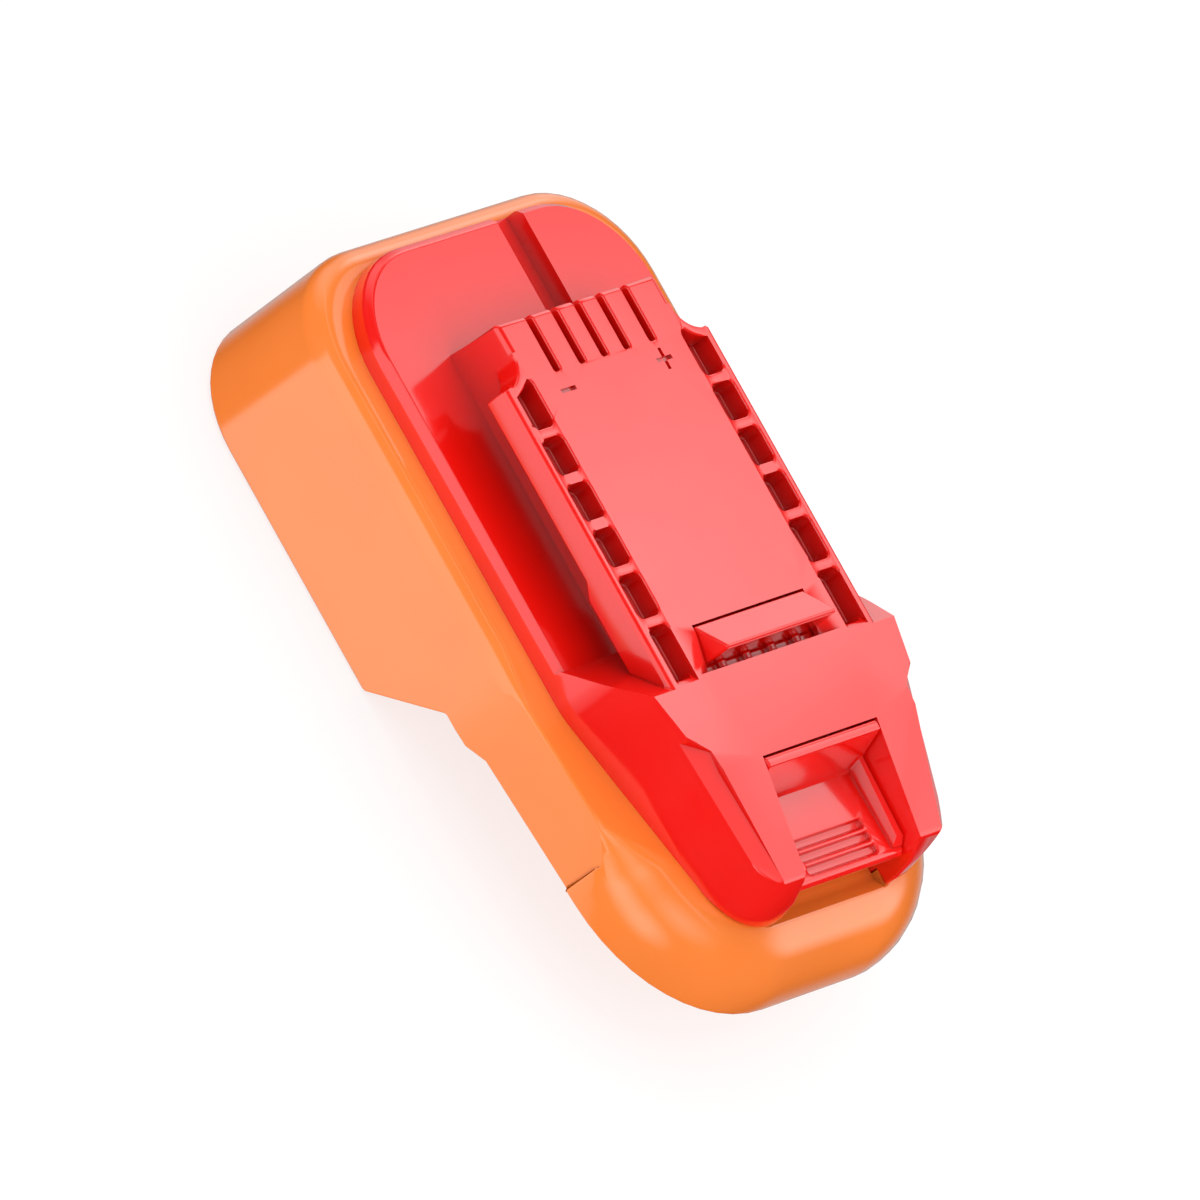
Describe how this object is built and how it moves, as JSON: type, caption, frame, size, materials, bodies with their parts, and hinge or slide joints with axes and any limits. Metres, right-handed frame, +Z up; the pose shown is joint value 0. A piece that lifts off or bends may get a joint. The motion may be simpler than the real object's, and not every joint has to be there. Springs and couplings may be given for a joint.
{
  "type": "tool battery adapter",
  "caption": "Slide-on adapter that joins a tool's battery rails to another battery: red rail cover with sprung thumb latch on an orange battery receiver.",
  "frame": {"origin": "middle of the base rectangle, on the plane the adapter stands on", "axes": "+X to the right seen from behind the latch, +Y to the contact end, +Z up to the rails"},
  "size_m": [0.0788, 0.1262, 0.0434],
  "materials": {
    "orange_plastic": "satin-gloss moulded",
    "red_plastic": "gloss moulded",
    "black_plastic": "matte moulded",
    "spring_steel": "drawn wire",
    "screw_steel": "zinc plated",
    "contact_brass": "stamped",
    "bus_copper": "rolled copper",
    "board_laminate": "solder mask",
    "chip_resin": "moulded resin",
    "capacitor_can": "sleeved can"
  },
  "bodies": {
    "housing": {"lower_housing": "orange_plastic", "upper_housing": "red_plastic", "latch_spring_left": "spring_steel", "latch_spring_right": "spring_steel", "tool_terminal_block": "black_plastic", "tool_clip_negative": "contact_brass", "tool_clip_positive": "contact_brass", "tool_signal_clip_left": "contact_brass", "tool_signal_clip_middle": "contact_brass", "tool_signal_clip_right": "contact_brass", "circuit_board": "board_laminate", "control_chip": "chip_resin", "power_transistors": "chip_resin", "filter_capacitor": "capacitor_can", "board_screws": "screw_steel", "battery_terminal_block": "black_plastic", "battery_blade_negative": "contact_brass", "battery_blade_positive": "contact_brass", "battery_signal_blades": "contact_brass", "terminal_block_screws": "screw_steel", "bus_strip_negative": "bus_copper", "bus_strip_positive": "bus_copper", "housing_screws": "screw_steel"},
    "latch": {"release_latch": "red_plastic"}
  },
  "joints": [
    {"name": "latch_press", "type": "slide", "parent": "housing", "child": "latch", "axis": [0, 0, -1], "range_m": [0, 0.0042], "stiffness_N_per_m": 1000, "springref_m": -0.002, "deforming": ["latch_spring_left", "latch_spring_right"]}
  ]
}
